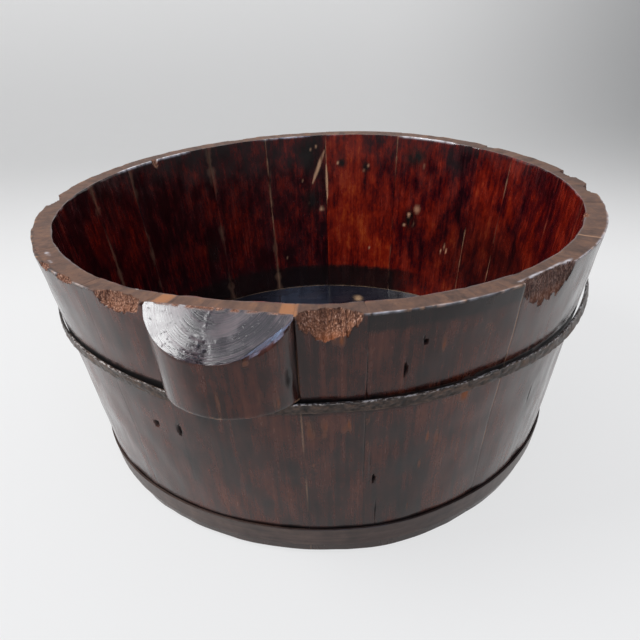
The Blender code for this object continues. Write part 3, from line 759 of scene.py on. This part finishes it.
def stave_material():
    """Old lacquer over vertical grain.

    Outside it is brown-black with red-brown showing through in streaks, inside it is clear red to
    orange over the grain. The rim is bare worn wood, and broken places are raw fibrous wood.
    """
    look = Finish("stave_lacquer")
    grain, rings = look.attribute("grain", "Vector"), look.attribute("rings", "Vector")
    inside, rim, facet, bare, dark = map(look.attribute, ("inside", "rim", "facet", "bare", "dark"))
    pale, white, tone, height = map(look.attribute, ("pale", "white", "tone", "height"))
    rough, aged, seam, stain_and_shade = map(look.attribute, ("rough", "aged", "seam", "stain_and_shade"))

    fine = look.noise(grain, (900, 60, 24))
    streaks = look.noise(grain, (220, 40, 9), 4)
    flames = look.noise(grain, (80, 60, 26), 5, 0.6, 0.4)
    flecks = look.noise(grain, (320, 200, 150), 3, 0.6, 0.6)
    mottle = look.noise(grain, (48, 48, 30), 5, 0.6)
    clouds = look.noise(grain, (19, 19, 12))
    end_grain = look.noise(grain, (75, 70, 60), 6, 0.7)
    fibres = look.noise(grain, (950, 950, 360), 4, 0.65)
    arcs = look.noise(rings, (1250, 22, 0))
    nicks = look.span(look.noise(grain, (260, 260, 420), 4, 0.65, 0.5), 0.61, 0.70)

    outer = look.ramp(
        look.weigh((fine, 0.08), (streaks, 0.22), (flames, 0.14), (flecks, 0.06), (mottle, 0.28),
                   (clouds, 0.22)),
        (0.42, 0.010, 0.0055, 0.0050), (0.48, 0.030, 0.0085, 0.0058), (0.53, 0.062, 0.0135, 0.0072),
        (0.60, 0.105, 0.026, 0.011), (0.68, 0.190, 0.062, 0.022))
    outer = look.cover(outer, (look.span(height, 0.0092, 0.0104, 0.85, 0.0), (0.055, 0.034, 0.027, 1)))
    high = look.times(look.span(height, 0.160, 0.235), look.span(tone, 0.0, 0.2))
    inner = look.ramp(
        look.weigh((fine, 0.07), (streaks, 0.12), (flames, 0.19), (flecks, 0.14), (mottle, 0.27),
                   (clouds, 0.21), (tone, 0.062), (high, -0.026)),
        (0.43, 0.0090, 0.0008, 0.0022), (0.475, 0.034, 0.0016, 0.0030), (0.52, 0.090, 0.0038, 0.0018),
        (0.565, 0.170, 0.0090, 0.0025), (0.63, 0.280, 0.036, 0.0055))

    along = look.times(look.split(grain)[0], 30.0)
    patch = look.add("TexVoronoi", {"W": along}, voronoi_dimensions="1D")["Color"]
    patch = look.add("SeparateColor", {0: patch})[0]
    rim_colour = look.ramp(
        look.weigh((end_grain, 0.44), (flecks, 0.24), (clouds, 0.25), (patch, 0.07), (tone, 0.24)),
        (0.36, 0.038, 0.018, 0.011), (0.48, 0.088, 0.042, 0.026), (0.58, 0.140, 0.066, 0.036),
        (0.76, 0.280, 0.112, 0.042))
    raw = look.ramp(
        fibres, (0.34, 0.050, 0.018, 0.011), (0.46, 0.170, 0.060, 0.026), (0.56, 0.320, 0.130, 0.062),
        (0.68, 0.600, 0.370, 0.260))
    weathered = look.ramp(
        fibres, (0.36, 0.024, 0.013, 0.012), (0.52, 0.085, 0.046, 0.038), (0.68, 0.300, 0.205, 0.170))
    greyed = look.calc("MAXIMUM", aged, look.span(height, 0.2215, 0.2310, 0.0, 0.38))
    smooth_low = look.span(height, 0.2150, 0.2240, 0.75, 0.0)
    smooth_low = look.times(smooth_low, look.span(aged, 0.3, 0.8, 1.0, 0.35))
    raw = look.cover(raw, (greyed, weathered), (smooth_low, (0.250, 0.072, 0.020, 1)))
    facet_colour = look.ramp(
        look.weigh((arcs, 0.55), (mottle, 0.45)),
        (0.41, 0.010, 0.0075, 0.0100), (0.50, 0.032, 0.024, 0.030), (0.60, 0.095, 0.068, 0.073))
    # White: painted highlights on the arrises and by the right chip, and white crumbs on the rim. Dark: marks,
    # and painted shade by the hoops, inside and in the facet's dent.
    colour = look.cover(
        outer, (inside, inner), (facet, facet_colour), (rim, rim_colour),
        (look.times(seam, 0.9), (0.006, 0.0035, 0.003, 1)), (bare, raw), (dark, (0.0045, 0.0030, 0.0030, 1)),
        (pale, (0.450, 0.258, 0.150, 1)), (white, (0.640, 0.620, 0.640, 1)))

    worn = look.calc("MAXIMUM", look.calc("MAXIMUM", look.times(rim, 0.8), bare), stain_and_shade)
    gloss = look.span(look.weigh((mottle, 0.6), (streaks, 0.4)), 0.38, 0.64, 0.14, 0.30)
    facet_gloss = look.span(look.weigh((arcs, 0.25), (mottle, 0.75)), 0.42, 0.60, 0.09, 0.24)
    roughness = look.mix(worn, look.mix(facet, gloss, facet_gloss), 0.68)
    uneven = look.span(facet, 0.0, 1.0, 1.0, 0.06)
    relief = look.relief(
        (look.times(mottle, uneven), 0.0008, 0.25), (look.times(fine, uneven), 0.00014, 0.6),
        (look.times(arcs, facet), 0.00006, 0.6), (look.times(nicks, facet), 0.00010, 0.6),
        (look.times(fibres, rough), 0.0010, 0.7))
    across = look.split(rings)[2]
    rubbed = look.times(look.span(across, -0.55, -0.15), look.span(across, 0.05, 0.45, 1.0, 0.0))
    lines = look.span(look.weigh((arcs, 0.6), (mottle, 0.4)), 0.47, 0.56)
    lines = look.times(lines, look.span(across, -0.60, -0.10, 0.2, 1.0))
    dulled = look.weigh((rubbed, 0.42), (nicks, 0.30), (lines, 0.35))
    dulled = look.calc("MULTIPLY", facet, dulled, clamp=True)
    mirror = look.times(look.span(worn, 0.0, 1.0, 0.5, 0.22), look.calc("SUBTRACT", 1.0, dulled))
    look.shade(Base_Color=colour, Roughness=roughness, Normal=relief, IOR=1.55, Specular_IOR_Level=mirror)
    return look.material


def finish_piece(piece, node):
    """Stand a piece for a node of the frame on the tub's one body, and hide that node's imported solid."""
    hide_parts(node)
    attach(piece, "root")


stave_lacquer = stave_material()
for number in range(len(STAVE_WIDTHS)):
    node = f"stave_{number + 1:02d}"
    if number in LUG_STAVES:
        node += f"_{LUG_STAVES[number]}_lug"
    points, attributes = build_stave(number)
    stave = put_mesh(f"lacquered_{node}", points, stave_lacquer, attributes)
    finish_piece(stave, node)


# Pins: split bamboo, tapped into bored holes in the edges of the staves and of the bottom boards.
# They are hidden in the joints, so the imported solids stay, with bamboo's pale fibres.
def dress_solids(word, material):
    """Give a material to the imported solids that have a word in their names."""
    for name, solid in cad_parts.items():
        if word in name:
            solid.data.materials.clear()
            solid.data.materials.append(material)


look = Finish("bamboo")
look.shade(Roughness=0.6, Base_Color=look.ramp(
    look.noise(look.where(), (900, 900, 900), 2),
    (0.3, 0.30, 0.19, 0.08), (0.6, 0.45, 0.31, 0.15), (0.8, 0.52, 0.38, 0.21)))
dress_solids("_pin_", look.material)

# Bottom: five softwood boards, pinned edge to edge and cut to a disc, with a tongue in the staves' groove.
# The lacquer on them is nearly black and glossy, and worn pale along the wall.
BOARD_WIDTHS = np.array([0.078, 0.092, 0.084, 0.096, 0.080])
BOARD_THICKNESS = 0.020
BOARD_CLEARANCE = 0.0001                # on each side of a joint between two boards
SHOULDER_GAP, SHOULDER_SLOPE = 0.003, 0.014
FLOOR_RADIUS = CROZE_BACK - FIT_GAP
FLOOR_WALL = wall_radius(CROZE_TOP) - WALL - FIT_GAP
FLOOR_FOOT = FLOOR_HEIGHT - BOARD_THICKNESS
FLOOR_SHOULDER = FLOOR_RADIUS - TONGUE_REACH - SHOULDER_GAP
FLOOR_STATIONS = 130
CHIP_AT, CHIP_SIZE = (0.0475, 0.1650), (0.0045, 0.0085)
board_edges = FLOOR_RADIUS * (2 * np.concatenate([[0], np.cumsum(BOARD_WIDTHS)]) / BOARD_WIDTHS.sum() - 1)


def build_board(low, high):
    """Grid of a board: at each place across it, a loop out along the top and back along the underside.

    Height follows the distance from the tub's axis: flat, then the chamfer and the tongue at the edge.
    The board is a little hollow across its width, and its long edges are rubbed.
    """
    width, rubbed = high - low, np.array([0, 0.0005, 0.0012])
    across = low + np.concatenate([rubbed, np.linspace(0.003, width - 0.003, 34), width - rubbed[::-1]])
    half = np.sqrt(np.maximum(FLOOR_RADIUS ** 2 - across ** 2, 1e-7))
    turn = np.linspace(0, math.pi, FLOOR_STATIONS)[:, None]
    x = np.concatenate([np.cos(turn), np.cos(turn[::-1])]) * half
    y = np.broadcast_to(across, x.shape)
    out = np.hypot(x, y)
    place = np.stack([x, y, 0 * x], axis=-1)
    edge = np.minimum(across - low, high - across)
    hollow = 0.0005 * (1 - (2 * (across - low) / width - 1) ** 2)
    top = np.interp(out, [FLOOR_WALL - FLOOR_CHAMFER, FLOOR_WALL], [FLOOR_HEIGHT, TONGUE_TOP])
    top = top - hollow - 0.0005 * unit(1 - edge / 0.0012) ** 2
    top = top - 0.00025 * (1 + layered_noise(place * (14, 60, 0), 81, 2) / 2)
    foot = np.interp(out, [FLOOR_SHOULDER - SHOULDER_SLOPE, FLOOR_SHOULDER], [FLOOR_FOOT, TONGUE_FOOT])
    is_top = (np.arange(len(x)) < FLOOR_STATIONS)[:, None]
    z = np.where(is_top, top, foot)
    wall = unit(1 - np.abs(out - FLOOR_WALL + 0.001) / 0.0022)
    chip = unit(1.4 - np.hypot((x - CHIP_AT[0]) / CHIP_SIZE[0], (y - CHIP_AT[1]) / CHIP_SIZE[1]))
    attributes = {"wear": unit(wall * 0.8 + chip) * is_top, "edge": np.broadcast_to(edge, x.shape)}
    return np.stack([x, y, z], axis=-1), attributes


def board_material():
    """Nearly black glossy lacquer over grain along the boards, with pale wood where it is rubbed off."""
    look = Finish("floor_lacquer")
    where = look.where()
    grain, mottle = look.noise(where, (9, 240, 9), 4), look.noise(where, (40, 40, 40), 4)
    colour = look.ramp(
        look.weigh((grain, 0.6), (mottle, 0.4)),
        (0.36, 0.0040, 0.0038, 0.0065), (0.52, 0.0080, 0.0076, 0.0130), (0.68, 0.019, 0.015, 0.019))
    wear = look.times(look.attribute("wear"), look.span(mottle, 0.35, 0.6, 0.35, 1.0))
    joint = look.span(look.attribute("edge"), 0.0, 0.0008, 0.8, 0.0)
    colour = look.cover(colour, (wear, (0.40, 0.25, 0.14, 1)), (joint, (0.003, 0.0025, 0.003, 1)))
    gloss = look.span(mottle, 0.35, 0.65, 0.16, 0.32)
    look.shade(Base_Color=colour, Roughness=gloss, Normal=look.relief((grain, 0.0004, 0.5)))
    return look.material


floor_lacquer = board_material()
for number in range(len(BOARD_WIDTHS)):
    low, high = board_edges[number] + BOARD_CLEARANCE, board_edges[number + 1] - BOARD_CLEARANCE
    points, attributes = build_board(low, high)
    board = put_mesh(f"lacquered_board_{number + 1}", points, floor_lacquer, attributes)
    finish_piece(board, f"bottom_board_{number + 1}")

# Upper hoop: a narrow strap of wrought iron, bent round, lapped and riveted at the back.
# It has come loose, is pitted with rust all over and is rubbed bright along its top edge.
UPPER_HOOP_HEIGHT = 0.0092
HOOP_THICKNESS, HOOP_BEVEL = 0.002, 0.0003
HOOP_STATIONS = 1100
LAP_AT, LAP_LENGTH, JOGGLE_LENGTH = 96.0, 0.050, 0.030
# How far its top edge stands off the wall, and how much further its lower edge does.
HOOP_GAP = np.array([
    (-205, 0.1), (-192, 0.6), (-176, 0.6), (-166, 0.1), (-158, 0.1), (-150, 0.8), (-142, 1.4), (-112, 1.2),
    (-90, 1.6), (-70, 2.2), (-58, 2.4), (-46, 2.7), (-34, 2.2), (-22, 1.8), (-10, 1.2), (2, 0.5), (20, 0.2)])
HOOP_LEAN = np.array([
    (-205, 0.0), (-185, 2.0), (-165, 2.2), (-150, 1.0), (-135, 0.0), (-85, 0.0), (-60, 0.8), (-46, 1.5),
    (-30, 3.0), (-10, 4.2), (6, 3.6), (35, 0.0)])
# Where the top edge is painted black, as shade of the gap over it: first and last angle, and how black.
SHADED_TOP_EDGE = (-195.0, -146.0, 0.95)   # first and last angle where its top edge is black, and how black


def upper_hoop_line(angles):
    """Lower edge of the loose hoop, its gap to the wall at the top edge and what the lower edge adds to that:
    tilted, sprung off the wall at the front and leaning out at the left and right."""
    gap, lean = out_of_true(angles, HOOP_GAP), out_of_true(angles, HOOP_LEAN)
    return upper_hoop_top(angles) - UPPER_HOOP_HEIGHT, FIT_GAP + gap, lean


def build_hoop(line, height, pits, seed):
    """Grid of a strap that lies along the wall: its section carried once round and over its lap.

    The outer end climbs over the inner one on the curve 3t^2 - 2t^3. Pits roughen its outer face
    and its edges by that depth.
    """
    at_lap = wall_radius(line(np.array([LAP_AT]))[0][0])
    whole = 360 + math.degrees(LAP_LENGTH / at_lap)
    angles = LAP_AT + np.linspace(0, whole, HOOP_STATIONS)
    climb = unit((angles - LAP_AT - 360) / math.degrees(JOGGLE_LENGTH / at_lap) + 1)
    climb = climb * climb * (3 - 2 * climb)
    low, gap, lean = line(angles)
    gap = gap + climb * (HOOP_THICKNESS + FIT_GAP)
    face = np.linspace(HOOP_BEVEL, height - HOOP_BEVEL, 11)
    back = np.linspace(height - HOOP_BEVEL, HOOP_BEVEL, 5)
    section = np.concatenate([
        np.stack([np.full_like(face, HOOP_THICKNESS), face], axis=-1),
        [[HOOP_THICKNESS - HOOP_BEVEL, height], [HOOP_THICKNESS / 2, height], [HOOP_BEVEL, height]],
        np.stack([np.zeros_like(back), back], axis=-1),
        [[HOOP_BEVEL, 0], [HOOP_THICKNESS - HOOP_BEVEL, 0]]])
    out, up = section[:, :1], section[:, 1:]
    theta = np.broadcast_to(angles, (len(section), angles.size))
    place = np.stack([np.radians(theta) * at_lap, out + 0 * theta, up + 0 * theta], axis=-1)
    pitted = layered_noise(place * 420, seed)
    edge_noise = layered_noise(place * (160, 0, 0), seed + 5)
    is_top, is_foot = up > height * 0.97, up < height * 0.03
    rise = np.where(is_top, 0.5 * pits * (edge_noise - 0.8), 0)
    rise = rise - np.where(is_foot, 0.5 * pits * edge_noise, 0)
    out = np.where(out > 0.001, out + pits * (np.clip(pitted, -1.4, 0.5) - 0.2), out)
    z = low + up + rise
    radius = wall_radius(z) + foot_bulge(theta, z) + gap + lean * (1 - up / height) + out
    attributes = {
        "grain": place,
        "top_edge": unit(1 - (height - up) / 0.0016) * (out > 0.0005),
        "foot_edge": unit(1 - up / 0.0012) * (out > 0.0005),
        "pit_and_shade": unit(-pitted),
    }
    return round_axis(theta, radius, z), attributes


def strap_material():
    """Grey-green to brown oxide, rough and pitted, with bare metal in specks along the top edge."""
    look = Finish("strap_iron")
    grain = look.attribute("grain", "Vector")
    mottle = look.noise(grain, (90, 200, 200), 4, 0.65)
    specks = look.noise(grain, (420, 700, 700), 3, 0.6)
    colour = look.ramp(
        look.weigh((mottle, 0.6), (specks, 0.4)),
        (0.38, 0.018, 0.0120, 0.0090), (0.49, 0.062, 0.038, 0.027), (0.58, 0.105, 0.062, 0.041),
        (0.70, 0.175, 0.090, 0.050))
    bright = look.times(look.attribute("top_edge"), look.span(specks, 0.47, 0.62))
    dull = look.times(look.attribute("foot_edge"), look.span(mottle, 0.45, 0.6, 0.0, 0.35))
    colour = look.cover(
        colour, (look.attribute("pit_and_shade"), (0.008, 0.006, 0.005, 1)), (dull, (0.22, 0.16, 0.12, 1)),
        (bright, (0.56, 0.52, 0.49, 1)))
    roughness = look.span(mottle, 0.35, 0.65, 0.30, 0.52)
    relief = look.relief((specks, 0.0006, 0.7))
    look.shade(Base_Color=colour, Roughness=roughness, Metallic=0.25, Normal=relief)
    return look.material


points, attributes = build_hoop(upper_hoop_line, UPPER_HOOP_HEIGHT, 0.0004, 90)
# Painted shade: the top edge turned black on the left, with its bright specks taken off.
shaded_edge = arc_strength(np.degrees(np.arctan2(points[..., 1], points[..., 0])), [SHADED_TOP_EDGE])
attributes["pit_and_shade"] = np.maximum(attributes["pit_and_shade"], shaded_edge * attributes["top_edge"])
attributes["top_edge"] = attributes["top_edge"] * (1 - shaded_edge)
upper_hoop = put_mesh("pitted_upper_hoop", points, strap_material(), attributes)
finish_piece(upper_hoop, "upper_hoop")

# Lower hoop: a wider iron strap, driven on tight just above the stave ends, lapped like the upper one.
# It is lacquered brown with the wall, and rubbed along its length.
LOWER_HOOP_HEIGHT, LOWER_HOOP_FOOT = 0.0175, 0.0100


def lower_hoop_line(angles):
    """Lower edge of the tight hoop and its gap to the wall, the same all over, with no lean."""
    return np.full_like(angles, LOWER_HOOP_FOOT), np.full_like(angles, FIT_GAP), np.zeros_like(angles)


def brown_material():
    """Brown lacquer over iron, smooth, with rubs along the strap, and painted shade along its top edge."""
    look = Finish("lacquered_iron")
    grain = look.attribute("grain", "Vector")
    rubs, mottle = look.noise(grain, (30, 300, 420), 4), look.noise(grain, (60, 60, 60), 4)
    colour = look.ramp(
        look.weigh((rubs, 0.45), (mottle, 0.55)),
        (0.36, 0.034, 0.020, 0.016), (0.52, 0.068, 0.040, 0.031), (0.68, 0.115, 0.068, 0.050))
    # Painted shade: a near-black line along the top edge, where the strap meets the wall.
    dull = look.times(look.attribute("top_edge"), look.span(mottle, 0.42, 0.6, 0.0, 0.6))
    colour = look.cover(colour, (dull, (0.006, 0.004, 0.004, 1)))
    look.shade(Base_Color=colour, Roughness=0.42, Normal=look.relief((mottle, 0.0006, 0.4)))
    return look.material


points, attributes = build_hoop(lower_hoop_line, LOWER_HOOP_HEIGHT, 0.00012, 120)
lower_hoop = put_mesh("smooth_lower_hoop", points, brown_material(), attributes)
finish_piece(lower_hoop, "lower_hoop")

# Rivets: iron, two through the lap of each hoop, their heads hammered over.
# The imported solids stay, with a dark hammered finish.
look = Finish("rivet_iron")
hammered = look.noise(look.where(), (700, 700, 700))
look.shade(Metallic=0.4, Roughness=0.55, Normal=look.relief((hammered, 0.0004, 0.6)), Base_Color=look.ramp(
    hammered, (0.35, 0.015, 0.012, 0.010), (0.55, 0.048, 0.038, 0.030), (0.70, 0.10, 0.060, 0.038)))
dress_solids("_rivet_", look.material)

# Floor and backdrop: one pale sheet that lies under the tub and curves up behind it. Not part of the object.
# It glows a little to the camera and in mirror images, so that its shade falls off to the back and the right.
SHEET_FRONT, SHEET_BEND, SHEET_TOP, SHEET_SIDE = -3.0, 1.25, 3.0, 4.0
BEND_RADIUS = 0.3
SHEET_BACK = SHEET_BEND + BEND_RADIUS
bend = np.linspace(0.1, math.pi / 2, 16)
sheet_y = np.concatenate([
    np.linspace(SHEET_FRONT, SHEET_BEND, 12), SHEET_BEND + BEND_RADIUS * np.sin(bend), [SHEET_BACK]])
sheet_z = np.concatenate([np.zeros(12), BEND_RADIUS - BEND_RADIUS * np.cos(bend), [SHEET_TOP]])
sheet_x = np.linspace(-SHEET_SIDE, SHEET_SIDE, 9)[:, None]
sheet = np.stack(np.broadcast_arrays(sheet_x, sheet_y, sheet_z), axis=-1)
look = Finish("paper")
look.shade(Base_Color=(0.80, 0.80, 0.80, 1), Roughness=0.9)
x, y, z = look.split(look.where())
near = look.span(y, 0.25, 1.15, 0.825, 0.53)
side = look.calc("SUBTRACT", look.span(x, 0.15, 1.25, 1.0, 0.38), 1.0)
side = look.calc("ADD", 1.0, look.times(side, look.span(y, 0.1, 0.9)))
level = look.times(look.calc("ADD", near, look.span(z, 0.0, 0.5, 0.0, 0.16)), side)
ray = look.add("LightPath", {})
# In mirror images the sheet glows less towards the front: painted shade there.
mirrored = look.span(y, -0.42, -0.08, 0.42, 0.95)
level = look.mix(ray["Is Camera Ray"], mirrored, level)
glow = look.add("Emission", {"Color": (1, 1, 1, 1), "Strength": level})[0]
seen = look.times(look.calc("MAXIMUM", ray["Is Camera Ray"], ray["Is Glossy Ray"]), 0.85)
mixed = look.add("MixShader", {0: seen, 1: look.shader.outputs[0], 2: glow})[0]
look.wire(look.tree.nodes["Material Output"], {"Surface": mixed})
index = np.arange(sheet[..., 0].size).reshape(sheet.shape[:2])
quads = np.stack([index[:-1, :-1], index[1:, :-1], index[1:, 1:], index[:-1, 1:]], axis=-1).reshape(-1, 4)
sheet_mesh = bpy.data.meshes.new("backdrop")
sheet_mesh.from_pydata(sheet.reshape(-1, 3), [], quads.tolist())
sheet_mesh.shade_smooth()
sheet_mesh.materials.append(look.material)
add_object("backdrop", sheet_mesh)


# Light: a large soft source above and to the left, a ceiling, and a small cool one at the front.
# An even pale room fills in the shadows.
def soft_lamp(name, place, target, size, power, colour=(1, 1, 1)):
    """Area lamp of a width and height at a place, turned towards a target."""
    lamp = bpy.data.lights.new(name, "AREA")
    lamp.shape = "RECTANGLE"
    lamp.size, lamp.size_y = size
    lamp.energy = power
    lamp.color = colour
    made = add_object(name, lamp)
    made.location = place
    made.rotation_euler = (Vector(target) - Vector(place)).to_track_quat("-Z", "Y").to_euler()


soft_lamp("window", (-1.55, -0.30, 2.0), (0, 0, 0.2), (1.05, 1.05), 56)
soft_lamp("ceiling", (0, 0.3, 2.6), (0, 0.3, 0), (2.5, 2.5), 24, (0.90, 0.93, 1.0))
soft_lamp("front_window", (0.40, -1.50, 1.75), (0, -0.27, 0.23), (0.90, 0.35), 11, (0.51, 0.66, 1.0))
world = bpy.data.worlds.new("room")
world.use_nodes = True
world.node_tree.nodes["Background"].inputs["Color"].default_value = (1, 1, 1, 1)
world.node_tree.nodes["Background"].inputs["Strength"].default_value = 0.24
bpy.context.scene.world = world
bpy.context.scene.view_settings.view_transform = "Standard"

# Camera: where the photograph was taken from, found by fitting the rim, the foot and the sides.
# Yaw turns it to the right, pitch tips it up, and roll turns it about the line of sight.
CAMERA_PLACE = Vector((0.0003, -0.6629, 0.4416))
CAMERA_YAW, CAMERA_PITCH, CAMERA_ROLL = (math.radians(turn) for turn in (-0.172, -27.296, -2.154))
FOCAL_PIXELS, IMAGE_PIXELS, SENSOR = 714.3, 640.0, 36.0
heading = Vector((math.sin(CAMERA_YAW), math.cos(CAMERA_YAW), 0))
forward = math.cos(CAMERA_PITCH) * heading + Vector((0, 0, math.sin(CAMERA_PITCH)))
level = forward.cross(Vector((0, 0, 1))).normalized()
upright = level.cross(forward)
right = math.cos(CAMERA_ROLL) * level + math.sin(CAMERA_ROLL) * upright
upright = math.cos(CAMERA_ROLL) * upright - math.sin(CAMERA_ROLL) * level
lens = bpy.data.cameras.new("camera")
lens.sensor_width = SENSOR
lens.lens = FOCAL_PIXELS / IMAGE_PIXELS * SENSOR
camera = add_object("camera", lens)
camera.matrix_world = Matrix.Translation(CAMERA_PLACE) @ Matrix(
    (right, upright, -forward)).transposed().to_4x4()
bpy.context.scene.camera = camera
